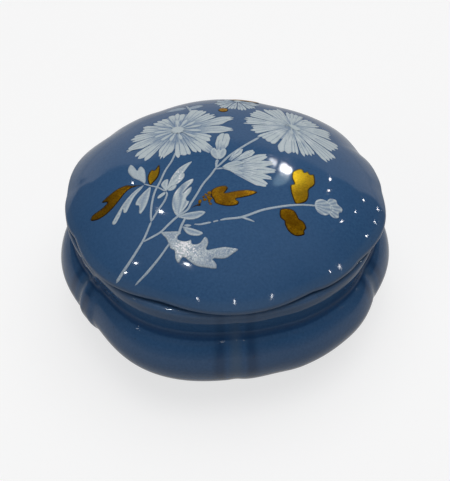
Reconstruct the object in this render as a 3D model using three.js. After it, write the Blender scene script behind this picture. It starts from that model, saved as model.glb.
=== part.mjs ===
// Vanity trinket box: a slip-cast porcelain bowl with a domed, scalloped lid that lifts off.
// Millimetres, +Z up, origin on the table under the middle of the foot ring, front towards -Y.
import * as THREE from 'three';
import { mergeVertices } from 'three/addons/utils/BufferGeometryUtils.js';

// ---- driving dimensions ----
const LID_RADIUS = 57;            // crest of the lid's scallops
const LID_EDGE = 3;               // height of the lid's rounded edge
const DOME_RISE = 14.25;          // crown above the rounded edge
const DOME_POWER = 3.85;          // flatness of the crown: higher is flatter with a tighter shoulder
const DOME_SPREAD = 0.985;        // where the crown runs into the rounded edge, as a share of the radius
const LID_WALL = 3.8;
const SEAT_HEIGHT = 44;           // underside of the lid above the table
const SEAT_GAP = 0.3;             // air between lid and bowl
const SEAT_BORE = 51.4;           // inside of the bowl's round mouth
const FLANGE_OUTER = 50.6;        // locating ring under the lid
const FLANGE_INNER = 47;
const FLANGE_DROP = 4;
const WALL = 4;                   // bowl wall
const FOOT_OUTER = 42;
const FOOT_INNER = 38;
const FOOT_RECESS = 2;            // glazed bottom above the table
const FLOOR = 6;                  // inside floor above the table
const SEGMENTS = 90;              // steps round each piece

// ---- scallops ----
// Each valley is [azimuth in degrees from the front, depth, crest], both as shares of the radius. The
// crest raises or lowers the lobe that follows the valley. Both outlines repeat after half a turn.
const LID_VALLEYS = [
  [-67, 0.032, 0.002],
  [-22, 0.032, 0.005],
  [30, 0.030, -0.014],
  [52, 0.022, 0.006],
  [90, 0.017, -0.014],
];
const BOWL_VALLEYS = [
  [-61, 0.038, -0.030],
  [-51.5, 0.041, 0.020],
  [4, 0.020, -0.020],
  [28, 0.006, -0.009],
  [63.5, 0.038, -0.006],
];
const VALLEY_ROUNDING = 0.2;      // 0 is a sharp valley line, larger is a wider, softer one

const halfTurn = ([azimuth, depth, crest]) => [azimuth + 180, depth, crest];
const wholeOutline = (valleys) => [...valleys, ...valleys.map(halfTurn)];

// Share by which the outline is scaled at an azimuth: 1 on a plain crest, less in a valley.
function scallop(azimuth, valleys) {
  const outline = wholeOutline(valleys);
  const first = outline[0][0];
  const angle = first + THREE.MathUtils.euclideanModulo(azimuth - first, 360);
  const index = outline.findLastIndex(([start]) => start <= angle);
  const [start, startDepth, crest] = outline[index];
  const [end, endDepth] = outline[index + 1] ?? [first + 360, outline[0][1]];
  const along = (angle - start) / (end - start);
  const swell = Math.sin(Math.PI * along);
  const soft = Math.hypot(swell, VALLEY_ROUNDING) - VALLEY_ROUNDING;
  const fullness = soft / (Math.hypot(1, VALLEY_ROUNDING) - VALLEY_ROUNDING);
  const depth = along < 0.5 ? startDepth : endDepth;
  return 1 - depth * (1 - fullness) + crest * swell ** 2;
}

// Turns a profile of [radius, height, share of the scallop] points about +Z. The profile runs from the
// axis underneath, round the outside, and back to the axis above.
function scallopedLathe(profile, valleys) {
  const points = profile.map(([radius, height]) => new THREE.Vector2(radius, height));
  const lathe = new THREE.LatheGeometry(points, SEGMENTS);
  lathe.rotateX(Math.PI / 2);
  const place = lathe.getAttribute('position');
  for (let i = 0; i < place.count; i += 1) {
    const x = place.getX(i);
    const y = place.getY(i);
    const azimuth = THREE.MathUtils.radToDeg(Math.atan2(x, -y));
    const share = profile[i % profile.length][2];
    const scale = 1 + share * (scallop(azimuth, valleys) - 1);
    place.setXY(i, x * scale, y * scale);
  }
  lathe.deleteAttribute('normal');
  lathe.deleteAttribute('uv');
  return mergeVertices(lathe, 1e-4);
}

// ---- lid ----
// Height of the crown above the underside of the lid.
const crown = (radius) =>
  LID_EDGE * 0.95 + DOME_RISE * (1 - (radius / (LID_RADIUS * DOME_SPREAD)) ** DOME_POWER);
// The scallops are full at the edge and die out up the crown.
const crownShare = (radius) => Math.min(1, radius / LID_RADIUS) ** 4;

function lidProfile() {
  const profile = [];
  for (const share of [0, 0.18, 0.34, 0.48, 0.6, 0.7, 0.78, 0.85, 0.91, 0.96]) {
    const radius = share * LID_RADIUS;
    profile.push([radius, SEAT_HEIGHT + crown(radius), crownShare(radius)]);
  }
  const round = LID_EDGE / 2;
  for (const degrees of [55, 25, -5, -35, -62, -90]) {
    const turn = THREE.MathUtils.degToRad(degrees);
    const radius = LID_RADIUS - round + round * Math.cos(turn);
    profile.push([radius, SEAT_HEIGHT + round + round * Math.sin(turn), 1]);
  }
  profile.push([FLANGE_OUTER, SEAT_HEIGHT, 0]);
  profile.push([FLANGE_OUTER, SEAT_HEIGHT - FLANGE_DROP + 0.8, 0]);
  profile.push([FLANGE_OUTER - 0.8, SEAT_HEIGHT - FLANGE_DROP, 0]);
  profile.push([FLANGE_INNER + 0.8, SEAT_HEIGHT - FLANGE_DROP, 0]);
  profile.push([FLANGE_INNER, SEAT_HEIGHT - FLANGE_DROP + 0.8, 0]);
  profile.push([FLANGE_INNER, SEAT_HEIGHT + 1, 0]);
  for (const share of [0.74, 0.62, 0.48, 0.3, 0]) {
    const radius = share * LID_RADIUS;
    profile.push([radius, SEAT_HEIGHT + crown(radius) - LID_WALL, 0]);
  }
  return profile.reverse();
}

// ---- bowl ----
// The outside runs from the foot up over the bulge, into the crease and neck, and round the rim.
// Heights are below the seat, radii and heights as shares of the lid's radius.
const BOWL_OUTSIDE = [
  [0.800, 0.718, 0.70],
  [0.882, 0.680, 0.85],
  [0.964, 0.612, 1.00],
  [1.020, 0.545, 1.00],
  [1.059, 0.475, 1.00],
  [1.074, 0.405, 1.00],
  [1.063, 0.345, 1.00],
  [1.038, 0.290, 0.95],
  [1.000, 0.245, 0.85],
  [0.970, 0.218, 0.75],
  [0.965, 0.185, 0.70],
  [0.974, 0.130, 0.60],
  [0.985, 0.080, 0.50],
];

function bowlProfile() {
  const rimTop = SEAT_HEIGHT - SEAT_GAP;
  const profile = [
    [0, FOOT_RECESS, 0],
    [FOOT_INNER - 1.2, FOOT_RECESS, 0],
    [FOOT_INNER, 0.4, 0],
    [FOOT_INNER + 0.5, 0, 0],
    [FOOT_OUTER - 0.8, 0, 0.4],
    [FOOT_OUTER, 0.8, 0.4],
    [FOOT_OUTER + 0.4, 1.8, 0.45],
  ];
  for (const [radius, below, share] of BOWL_OUTSIDE) {
    profile.push([radius * LID_RADIUS, SEAT_HEIGHT - below * LID_RADIUS, share]);
  }
  const round = 1.7;
  for (const degrees of [0, 35, 65, 90]) {
    const turn = THREE.MathUtils.degToRad(degrees);
    const radius = LID_RADIUS * 0.992 - round + round * Math.cos(turn);
    profile.push([radius, rimTop - round + round * Math.sin(turn), 0.45]);
  }
  profile.push([SEAT_BORE + 0.6, rimTop, 0]);
  profile.push([SEAT_BORE, rimTop - 0.6, 0]);
  profile.push([SEAT_BORE, SEAT_HEIGHT - 0.19 * LID_RADIUS, 0]);
  const inside = BOWL_OUTSIDE.slice(2, 9).reverse();
  for (const [radius, below, share] of inside) {
    profile.push([radius * LID_RADIUS - WALL, SEAT_HEIGHT - below * LID_RADIUS, share * 0.8]);
  }
  profile.push([0.80 * LID_RADIUS, FLOOR + 0.9, 0.6]);
  profile.push([0.70 * LID_RADIUS, FLOOR, 0.3]);
  profile.push([0, FLOOR, 0]);
  return profile;
}

// ---- pieces ----
const glaze = { color: new THREE.Color(0.15, 0.26, 0.42), roughness: 0.12, metalness: 0 };

function piece(name, profile, valleys) {
  const mesh = new THREE.Mesh(scallopedLathe(profile, valleys), new THREE.MeshStandardMaterial(glaze));
  mesh.name = name;
  return mesh;
}

const box = new THREE.Group();
box.add(piece('bowl', bowlProfile(), BOWL_VALLEYS));
box.add(piece('lid', lidProfile(), LID_VALLEYS));

export default box;
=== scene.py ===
"""A glazed porcelain trinket box: lobed bowl, domed scalloped lid, and a fired enamel and gold flower spray.

Shapes are worked out in millimetres in the CAD frame and turned into metres when a mesh is made. A place on
the lid is given in plan, as (x, y) seen from above with the front of the box towards -y.
"""
import math

import bpy
import numpy as np
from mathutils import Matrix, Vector
from mathutils.geometry import delaunay_2d_cdt


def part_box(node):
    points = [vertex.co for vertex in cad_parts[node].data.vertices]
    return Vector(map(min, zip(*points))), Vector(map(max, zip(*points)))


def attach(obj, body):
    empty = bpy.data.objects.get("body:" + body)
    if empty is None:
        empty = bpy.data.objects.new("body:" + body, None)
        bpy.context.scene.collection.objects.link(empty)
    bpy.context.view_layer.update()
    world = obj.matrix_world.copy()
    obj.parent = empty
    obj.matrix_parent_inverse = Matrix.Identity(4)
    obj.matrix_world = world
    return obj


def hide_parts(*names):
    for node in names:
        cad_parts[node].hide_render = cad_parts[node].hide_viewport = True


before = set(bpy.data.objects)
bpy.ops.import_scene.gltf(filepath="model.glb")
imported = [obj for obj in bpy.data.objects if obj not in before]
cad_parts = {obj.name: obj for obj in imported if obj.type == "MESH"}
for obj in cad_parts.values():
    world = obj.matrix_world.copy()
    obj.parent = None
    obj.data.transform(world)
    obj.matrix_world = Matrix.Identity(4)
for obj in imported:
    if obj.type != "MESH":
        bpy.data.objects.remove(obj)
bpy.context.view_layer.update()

MM = 0.001
SEGMENTS = 480  # steps round each piece of porcelain

# ---- the porcelain, as in the CAD ----
LID_RADIUS = 57.0  # crest of the lid's scallops
LID_EDGE = 3.0  # height of the lid's rounded edge
DOME_RISE = 14.25  # crown above the rounded edge
DOME_POWER = 3.85  # flatness of the crown
DOME_SPREAD = 0.985  # where the crown runs into the rounded edge
LID_WALL = 3.8
SEAT_BORE = 51.4
FLANGE_OUTER = 50.6
FLANGE_INNER = 47.0
FLANGE_DROP = 4.0
SEAT_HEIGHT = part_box("lid")[0][2] / MM + FLANGE_DROP
RIM_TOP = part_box("bowl")[1][2] / MM
WALL = 4.0
FOOT_OUTER = 42.0
FOOT_INNER = 38.0
FOOT_RECESS = 2.0
FLOOR_HEIGHT = 6.0
VALLEY_ROUNDING = 0.2  # 0 is a sharp valley line, larger is a wider, softer one

# Each valley is (azimuth in degrees from the front, depth, crest of the lobe that follows it), the last two
# as shares of the radius. Both outlines repeat after half a turn.
LID_VALLEYS = [
    (-67, 0.032, 0.002), (-22, 0.032, 0.005), (30, 0.030, -0.014), (52, 0.022, 0.006), (90, 0.017, -0.014),
]
BOWL_VALLEYS = [
    (-61, 0.038, -0.030), (-51.5, 0.041, 0.020), (4, 0.020, -0.020), (28, 0.006, -0.009),
    (63.5, 0.038, -0.006),
]

# A fine pale line runs down the bowl at each of these azimuths, and half a turn on, between darker flanks.
BOWL_SEAMS = [-61, 3.0, 63.5]
SEAM_DEPTH = 0.25
SEAM_WIDTH = 2.2  # degrees, as are the next two
FLANK_AWAY = 5.0
FLANK_WIDTH = 2.0

# The bowl's outside: radius and depth below the seat as shares of the lid's radius, and share of the scallop.
BOWL_OUTSIDE = [
    (0.800, 0.718, 0.70), (0.882, 0.680, 0.85), (0.964, 0.612, 1.00), (1.020, 0.545, 1.00),
    (1.059, 0.475, 1.00), (1.074, 0.405, 1.00), (1.063, 0.345, 1.00), (1.038, 0.290, 0.95),
    (1.000, 0.245, 0.85), (0.970, 0.218, 0.75), (0.965, 0.185, 0.70), (0.974, 0.130, 0.60),
    (0.985, 0.080, 0.50),
]

# ---- camera ----
CAMERA_TARGET = Vector((0.0, 0.0, 23.3)) * MM
CAMERA_ELEVATION = math.radians(43.03)
CAMERA_DISTANCE = 340.3 * MM
CAMERA_LENS = 73.18
CAMERA_ROLL = math.radians(0.77)
CAMERA_WAY = Vector((0, -math.cos(CAMERA_ELEVATION), math.sin(CAMERA_ELEVATION)))
CAMERA_PLACE = CAMERA_TARGET + CAMERA_DISTANCE * CAMERA_WAY


def place_object(name, data):
    """A new object in the scene."""
    thing = bpy.data.objects.new(name, data)
    bpy.context.collection.objects.link(thing)
    return thing


def make_camera():
    data = bpy.data.cameras.new("camera")
    data.lens = CAMERA_LENS
    data.sensor_width = 36
    data.sensor_fit = "HORIZONTAL"
    data.clip_start = 0.01
    camera = place_object("camera", data)
    camera.location = CAMERA_PLACE
    look = (CAMERA_TARGET - CAMERA_PLACE).to_track_quat("-Z", "Y").to_matrix().to_4x4()
    camera.rotation_euler = look.to_euler()
    camera.rotation_euler.rotate_axis("Z", -CAMERA_ROLL)
    bpy.context.scene.camera = camera


# ---- curves and outlines ----
def smooth(points, steps, closed=False):
    """A centripetal curve through the points, with that many steps between each pair."""
    points = np.array(points, float)
    if closed:
        padded = np.vstack([points[-1:], points, points[:2]])
    else:
        padded = np.vstack([2 * points[:1] - points[1:2], points, 2 * points[-1:] - points[-2:-1]])
    knots = np.concatenate([[0], np.cumsum(np.linalg.norm(np.diff(padded[:, :2], axis=0), axis=1) ** 0.5)])
    pieces = []
    for i in range(1, len(padded) - 2):
        a, b, c, d = padded[i - 1:i + 3]
        ta, tb, tc, td = knots[i - 1:i + 3]
        t = np.linspace(tb, tc, steps, endpoint=False)[:, None]
        ab = (tb - t) / (tb - ta) * a + (t - ta) / (tb - ta) * b
        bc = (tc - t) / (tc - tb) * b + (t - tb) / (tc - tb) * c
        cd = (td - t) / (td - tc) * c + (t - tc) / (td - tc) * d
        abc = (tc - t) / (tc - ta) * ab + (t - ta) / (tc - ta) * bc
        bcd = (td - t) / (td - tb) * bc + (t - tb) / (td - tb) * cd
        pieces.append((tc - t) / (tc - tb) * abc + (t - tb) / (tc - tb) * bcd)
    if not closed:
        pieces.append(points[-1:])
    return np.vstack(pieces)


def arc(centre, radius, start, end, share, steps=8):
    """Rows of (radius, height, share) round an arc, in degrees up from the outward direction."""
    turn = np.radians(np.linspace(start, end, steps + 1))
    return [(centre[0] + radius * math.cos(t), centre[1] + radius * math.sin(t), share) for t in turn]


def scallop(azimuth, valleys):
    """Share by which the outline is scaled at each azimuth: 1 on a plain crest, less in a valley."""
    outline = np.array(valleys + [(a + 180, depth, crest) for a, depth, crest in valleys])
    first = outline[0, 0]
    angle = first + np.mod(azimuth - first, 360)
    index = np.searchsorted(outline[:, 0], angle, side="right") - 1
    after = (index + 1) % len(outline)
    start = outline[index, 0]
    end = outline[after, 0] + np.where(after == 0, 360, 0)
    along = (angle - start) / (end - start)
    swell = np.sin(np.pi * along)
    soft = np.hypot(swell, VALLEY_ROUNDING) - VALLEY_ROUNDING
    fullness = soft / (math.hypot(1, VALLEY_ROUNDING) - VALLEY_ROUNDING)
    depth = np.where(along < 0.5, outline[index, 1], outline[after, 1])
    return 1 - depth * (1 - fullness) + outline[index, 2] * swell ** 2


# ---- the lid's surface ----
def crown(radius):
    """Height of the crown above the underside of the lid."""
    return LID_EDGE * 0.95 + DOME_RISE * (1 - (radius / (LID_RADIUS * DOME_SPREAD)) ** DOME_POWER)


def crown_share(radius):
    """The scallops are full at the edge and die out up the crown."""
    return np.minimum(1, radius / LID_RADIUS) ** 4


def lid_top():
    """Rows of (radius, height, share) from the middle of the crown to the lid's widest point."""
    radii = np.linspace(0, 0.965, 72) * LID_RADIUS
    rows = [(radius, SEAT_HEIGHT + crown(radius), crown_share(radius)) for radius in radii]
    half = LID_EDGE / 2
    return rows + arc((LID_RADIUS - half, SEAT_HEIGHT + half), half, 48, 0, 1)


LID_TOP = np.array(lid_top())


def lid_surface(x, y):
    """Points on the glaze above the plan places (x, y), in millimetres."""
    reach = np.hypot(x, y)
    swell = scallop(np.degrees(np.arctan2(x, -y)), LID_VALLEYS) - 1
    radius = reach
    for _ in range(8):
        radius = reach / (1 + crown_share(radius) * swell)
    height = np.interp(radius, LID_TOP[:, 0], LID_TOP[:, 1])
    return np.stack([x, y, height], axis=-1)


def lid_normal(x, y):
    step = 0.25
    across = lid_surface(x + step, y) - lid_surface(x - step, y)
    away = lid_surface(x, y + step) - lid_surface(x, y - step)
    normal = np.cross(across, away)
    return normal / np.linalg.norm(normal, axis=-1, keepdims=True)


# ---- meshes ----
def make_object(name, points, faces, material, values=None):
    """An object from points in millimetres, with named values on its vertices for the material to read."""
    mesh = bpy.data.meshes.new(name)
    mesh.from_pydata((np.asarray(points) * MM).tolist(), [], faces)
    mesh.shade_smooth()
    for key, numbers in (values or {}).items():
        mesh.attributes.new(key, "FLOAT", "POINT").data.foreach_set("value", np.asarray(numbers, np.float32))
    mesh.materials.append(material)
    return place_object(name, mesh)


def grid_faces(rows, columns, closed, ring=False):
    """The faces of a grid. closed joins its last column to the first, and ring its last row to the first."""
    faces = []
    for i in range(rows if ring else rows - 1):
        below = i * columns
        above = (i + 1) % rows * columns
        for j in range(columns if closed else columns - 1):
            k = (j + 1) % columns
            faces.append((below + j, below + k, above + k, above + j))
    return faces


def ring_normals(grid):
    down = np.roll(grid, -1, axis=0) - np.roll(grid, 1, axis=0)
    down[0] = grid[1] - grid[0]
    down[-1] = grid[-1] - grid[-2]
    round_ = np.roll(grid, -1, axis=1) - np.roll(grid, 1, axis=1)
    normal = np.cross(round_, down)
    return normal / np.maximum(np.linalg.norm(normal, axis=2, keepdims=True), 1e-9)


def hollowness(grid):
    """How far each point lies in a hollow, +1, or stands on an edge, -1: glaze pools in one and thins on the
    other."""
    def bend(a, b, c):
        before = b - a
        after = c - b
        size_before = np.maximum(np.linalg.norm(before, axis=2, keepdims=True), 1e-6)
        size_after = np.maximum(np.linalg.norm(after, axis=2, keepdims=True), 1e-6)
        return (after / size_after - before / size_before) / (0.5 * (size_before + size_after))

    down = np.zeros_like(grid)
    down[1:-1] = bend(grid[:-2], grid[1:-1], grid[2:])
    reach = 6
    round_ = bend(np.roll(grid, reach, axis=1), grid, np.roll(grid, -reach, axis=1))
    curve = np.sum((down + round_) * ring_normals(grid), axis=2)
    for _ in range(6):
        curve[1:-1] = (curve[:-2] + 2 * curve[1:-1] + curve[2:]) / 4
        curve = (np.roll(curve, 2, axis=1) + 2 * curve + np.roll(curve, -2, axis=1)) / 4
    return np.clip(curve * 4, -1, 1)


def seam_lines(azimuth, seams):
    """1 along each seam and down to -1 on its flanks; the glaze colour is made paler along each seam and
    darker on its flanks.
    """
    lines = np.zeros_like(azimuth)
    for middle in seams + [seam + 180 for seam in seams]:
        away = np.abs((azimuth - middle + 180) % 360 - 180)
        flank = np.exp(-((away - FLANK_AWAY) / FLANK_WIDTH) ** 2)
        lines += np.exp(-(away / SEAM_WIDTH) ** 2) - 0.95 * flank
    return lines


def lathe(name, profile, valleys, material, ring=False, seams=()):
    """Turns rows of (radius, height, share of the scallop) about +Z. The profile starts and ends on the axis,
    or, for a ring, closes on itself. A fine groove runs down each of the seams."""
    profile = np.array(profile)
    if not ring:
        bottom, top = profile[0, 1], profile[-1, 1]
        profile = profile[1:-1]
    azimuth = np.linspace(0, 360, SEGMENTS, endpoint=False)
    turn = np.radians(azimuth)
    radius = profile[:, :1] * (1 + profile[:, 2:3] * (scallop(azimuth, valleys) - 1))
    marks = seam_lines(azimuth, list(seams))[None, :] * np.clip(profile[:, 2:3], 0, 1)
    radius = radius - SEAM_DEPTH * np.clip(marks, 0, 1)
    height = np.repeat(profile[:, 1:2], SEGMENTS, axis=1)
    grid = np.stack([radius * np.sin(turn), -radius * np.cos(turn), height], axis=2)
    rows = len(profile)
    points = grid.reshape(-1, 3)
    pooled = hollowness(grid).reshape(-1)
    marks = marks.reshape(-1)
    faces = grid_faces(rows, SEGMENTS, True, ring)
    if not ring:
        count = len(points)
        last = (rows - 1) * SEGMENTS
        points = np.vstack([points, [[0, 0, bottom], [0, 0, top]]])
        pooled = np.append(pooled, [0, 0])
        marks = np.append(marks, [0, 0])
        for j in range(SEGMENTS):
            k = (j + 1) % SEGMENTS
            faces.append((count, k, j))
            faces.append((count + 1, last + j, last + k))
    return make_object(name, points, faces, material, {"hollow": pooled, "seam": marks})


def lid_profile():
    half = LID_EDGE / 2
    rows = list(reversed(lid_top()))
    rows.pop(0)
    under = arc((LID_RADIUS - half, SEAT_HEIGHT + half), half, 0, -90, 1)
    round_ = 0.9
    low = SEAT_HEIGHT - FLANGE_DROP
    under += [(53.5, SEAT_HEIGHT, 0.6), (51.6, SEAT_HEIGHT, 0.0)]
    under += [(FLANGE_OUTER + 0.25, SEAT_HEIGHT - 0.1, 0), (FLANGE_OUTER, SEAT_HEIGHT - 0.6, 0)]
    under += arc((FLANGE_OUTER - round_, low + round_), round_, 0, -90, 0)
    under += arc((FLANGE_INNER + round_, low + round_), round_, -90, -180, 0)
    inside = [(FLANGE_INNER, SEAT_HEIGHT - 1.5, 0), (FLANGE_INNER - 0.3, SEAT_HEIGHT + 1.5, 0)]
    inside += [(45.4, SEAT_HEIGHT + 4.9, 0)]
    for share in (0.74, 0.62, 0.48, 0.34, 0.2, 0.1, 0):
        radius = share * LID_RADIUS
        inside.append((radius, SEAT_HEIGHT + crown(radius) - LID_WALL, 0))
    under += smooth(inside, 6).tolist()
    return list(reversed(under)) + rows


def bowl_side(rows, wall=0.0, softening=1.0):
    """Rows of BOWL_OUTSIDE in millimetres, set in by the wall and with the scallops softened."""
    return [
        (radius * LID_RADIUS - wall, SEAT_HEIGHT - below * LID_RADIUS, share * softening)
        for radius, below, share in rows
    ]


def bowl_profile():
    low = 0.12  # glaze stops just short of the table: the foot's bare ring is below it
    rows = [(0, FOOT_RECESS, 0), (18, FOOT_RECESS, 0)]
    foot = [
        (34, FOOT_RECESS, 0), (36.6, FOOT_RECESS - 0.1, 0), (37.7, 1.2, 0), (FOOT_INNER + 0.2, 0.5, 0),
        (FOOT_INNER + 0.8, low, 0), (FOOT_OUTER - 1.0, low, 0.4), (FOOT_OUTER - 0.2, 0.5, 0.4),
        (FOOT_OUTER + 0.4, 1.7, 0.45),
    ]
    rows += smooth(foot + bowl_side(BOWL_OUTSIDE), 7).tolist()
    round_ = 1.7
    rows += arc((LID_RADIUS * 0.992 - round_, RIM_TOP - round_), round_, 0, 90, 0.45)
    rows += [(53.4, RIM_TOP, 0.2)]
    rows += arc((SEAT_BORE + 0.6, RIM_TOP - 0.6), 0.6, 90, 180, 0, 5)
    inside = [(SEAT_BORE, SEAT_HEIGHT - 3, 0), (SEAT_BORE, SEAT_HEIGHT - 0.17 * LID_RADIUS, 0.05)]
    inside += bowl_side(reversed(BOWL_OUTSIDE[2:9]), WALL, 0.8)
    inside += [(0.80 * LID_RADIUS, FLOOR_HEIGHT + 0.9, 0.6), (0.70 * LID_RADIUS, FLOOR_HEIGHT, 0.3)]
    inside += [(20, FLOOR_HEIGHT, 0), (0, FLOOR_HEIGHT, 0)]
    return rows + smooth(inside, 6).tolist()


def flat_ring(inner, outer, low, high):
    """A closed profile of a flat ring with eased corners."""
    cut = min(0.25, (high - low) / 2)
    return [
        (inner + cut, low, 0), (outer - cut, low, 0), (outer, low + cut, 0), (outer, high - cut, 0),
        (outer - cut, high, 0), (inner + cut, high, 0), (inner, high - cut, 0), (inner, low + cut, 0),
    ]


# ---- enamel and gold on the lid ----
COAT = 0.06  # thickness of a fired-on coat, which reaches down into the glaze
LEAST_LIFT = 0.01  # lowest that the top of a coat stands above the glaze
PETAL_HEIGHT = 0.14
PETAL_GAP = 0.15  # bare glaze along each side of a petal
SCRATCH = 0.15  # half width of a scratched line


class Sheet:
    """Gathers the patches of one fired-on layer: plan places, lifts above the glaze, values to paint by."""

    def __init__(self):
        self.places = []
        self.lifts = []
        self.cover = []
        self.rim = []
        self.faces = []
        self.count = 0

    def add(self, places, lifts, cover, rim, faces):
        self.places.append(places)
        self.lifts.append(lifts)
        self.cover.append(cover)
        self.rim.append(rim)
        self.faces += [tuple(self.count + i for i in face) for face in faces]
        self.count += len(places)

    def grid(self, places, lifts, cover, rim):
        """Adds a sheet of rows and columns."""
        faces = grid_faces(*lifts.shape, False)
        self.add(places.reshape(-1, 2), lifts.ravel(), cover.ravel(), rim.ravel(), faces)

    def build(self, name, material):
        places = np.vstack(self.places)
        lifts = np.concatenate(self.lifts)
        x, y = places[:, 0], places[:, 1]
        points = lid_surface(x, y) + lid_normal(x, y) * lifts[:, None]
        values = {"cover": np.concatenate(self.cover), "rim": np.concatenate(self.rim)}
        thing = make_object(name, points, self.facing_up(points), material, values)
        body = thing.modifiers.new("thickness", "SOLIDIFY")
        body.thickness = COAT * MM
        body.offset = -1
        body.use_quality_normals = False
        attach(thing, "lid")

    def facing_up(self, points):
        turned = []
        for face in self.faces:
            a, b, c = points[list(face[:3])]
            upward = (b[0] - a[0]) * (c[1] - a[1]) - (b[1] - a[1]) * (c[0] - a[0]) > 0
            turned.append(face if upward else face[::-1])
        return turned


def unit(degrees):
    turn = math.radians(degrees)
    return np.array([math.cos(turn), math.sin(turn)])


def ease(value, low, high):
    """0 below low, 1 above high, and smooth between."""
    t = np.clip((value - low) / (high - low), 0, 1)
    return t * t * (3 - 2 * t)


def ribbon(sheet, route, widths, height=0.12, cover=0.60, lift=0.0, steps=8):
    """A raised line of enamel along a route, its half width changing evenly from each width to the next."""
    line = smooth(route, steps)
    gone = np.concatenate([[0], np.cumsum(np.linalg.norm(np.diff(line, axis=0), axis=1))])
    gone /= gone[-1]
    half = np.interp(gone, np.linspace(0, 1, len(widths)), widths) / 2
    round_off = np.sqrt(np.clip(1 - (2 * gone - 1) ** 24, 0, 1))
    half = half * np.maximum(round_off, 0.05)
    way = np.gradient(line, axis=0)
    way /= np.linalg.norm(way, axis=1, keepdims=True)
    side = np.stack([-way[:, 1], way[:, 0]], axis=1)
    across = np.sin(np.linspace(-1, 1, 7) * math.pi / 2)
    places = line[:, None, :] + side[:, None, :] * (half[:, None, None] * across[None, :, None])
    dome = np.sqrt(np.clip(1 - across ** 2, 0, 1))
    lifts = lift + LEAST_LIFT + height * dome[None, :] * round_off[:, None]
    covers = np.full(lifts.shape, cover) + 0.12 * (dome[None, :] - 0.6)
    sheet.grid(places, lifts, covers, 1 - np.repeat(dome[None, :], len(line), axis=0))


def petal(sheet, root, direction, length, halves, random, teeth=4, start=2.0, cover=(0.15, 1.0), lift=0.0,
          lines=2, tooth=1.5, tip=0.05, thickens=(0.10, 0.55)):
    """A petal from root, with a fringed tip and scratched lines. halves are its greatest half width and the
    sines of the half angles to its neighbours on the right and left, which it doesn't cross. Its cover goes
    from the first value to the second over the part of its length that thickens gives."""
    widest, right, left = halves
    along = np.sin(np.linspace(0, 1, 30) * math.pi / 2)
    across = np.linspace(-1, 1, 45)
    v, u = np.meshgrid(along, across, indexing="ij")
    cuts = np.linspace(-1, 1, teeth + 1)
    cuts[1:-1] += random.uniform(-0.35, 0.35, teeth - 1) / teeth
    strand = np.clip(np.searchsorted(cuts, u, side="right") - 1, 0, teeth - 1)
    within = np.clip((u - cuts[strand]) / (cuts[strand + 1] - cuts[strand]), 0, 1)
    skew = random.uniform(0.35, 0.65, teeth)[strand]
    notch = np.abs(np.where(within < skew, 1 - within / skew, (within - skew) / (1 - skew))) ** 1.5
    shorter = random.uniform(0, 0.8, teeth)[strand]
    reach = length - tooth * (notch + shorter * (1 - notch)) - 0.045 * length * np.abs(u) ** 3
    distance = start + (reach - start) * v
    side = np.where(u < 0, right, left)
    half = np.minimum(widest, distance * side)
    shape = 1 - tip * ease(v, 0.80, 1.0)
    forward = unit(direction)
    sideways = np.array([-forward[1], forward[0]])
    offset = u * (half * shape - PETAL_GAP)
    places = root + distance[..., None] * forward + offset[..., None] * sideways
    groove = np.zeros_like(u)
    streaks = [(cut, 0.45, 1.05, 0.95) for cut in cuts[1:-1]]
    for k in range(teeth * lines):
        middle = -0.9 + 1.8 * (k + random.uniform(0.2, 0.8)) / (teeth * lines)
        begin = random.uniform(0.12, 0.5)
        streaks.append((middle, begin, begin + random.uniform(0.22, 0.45), random.uniform(0.45, 0.9)))
    for middle, begin, end, depth in streaks:
        fade = ease(v, begin, begin + 0.12) * (1 - ease(v, end - 0.12, end + 0.02))
        groove += depth * np.exp(-((u - middle) * np.maximum(half, 0.5) / SCRATCH) ** 2) * fade
    groove = np.clip(groove, 0, 1)
    edge = np.minimum((1 - np.abs(u)) * np.maximum(half, 0.5) / 2.2, (1 - v) * 2.5)
    edge = np.minimum(edge, v * 6)
    crown_up = 1 - np.exp(-edge / 0.10)
    lifts = lift + LEAST_LIFT + PETAL_HEIGHT * crown_up * (1 - 0.55 * groove)
    tone = cover[0] + (cover[1] - cover[0]) * ease(v, *thickens)
    strands = 0.5 + 0.5 * np.sin(u * half * 5.5 + random.uniform(0, 6))
    tone = tone + 0.38 * strands * (1 - ease(v, 0.35, 0.65))
    tone = (tone - 0.85 * groove * tone) * (0.45 + 0.55 * ease(edge, 0.0, 0.06))
    sheet.grid(places, lifts, tone, 1 - crown_up)


def ring_of_petals(sheet, root, petals, random, widest=3.0, **details):
    """Petals round the root, each (direction, length) and, if narrow, half width. Each stops at the next."""
    order = sorted(petals, key=lambda pair: pair[0])
    for i, (direction, length, *narrow) in enumerate(order):
        before = (direction - order[i - 1][0]) % 360
        after = (order[(i + 1) % len(order)][0] - direction) % 360
        right, left = [math.sin(math.radians(min(gap, 60) / 2)) for gap in (before, after)]
        halves = (narrow[0] if narrow else widest, right, left)
        petal(sheet, root, direction, length, halves, random, tip=0.45 if narrow else 0.05, **details)


def stamens(sheet, root, places, cover=1.0):
    """Stamens round the root, each (direction, length): a thin stalk with a round head."""
    for direction, length in places:
        route = [root + unit(direction) * reach for reach in (1.2, length * 0.5, length * 0.8, length)]
        ribbon(sheet, route, [0.5, 0.42, 0.5, 1.25, 1.35, 0.7], height=0.16, cover=cover, lift=0.10)


def inside_outline(places, outline):
    inside = np.zeros(len(places), bool)
    for a, b in zip(outline, np.roll(outline, -1, axis=0)):
        crosses = (a[1] > places[:, 1]) != (b[1] > places[:, 1])
        rise = b[1] - a[1] if abs(b[1] - a[1]) > 1e-9 else 1e-9
        inside ^= crosses & (places[:, 0] < (b[0] - a[0]) * (places[:, 1] - a[1]) / rise + a[0])
    return inside


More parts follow.
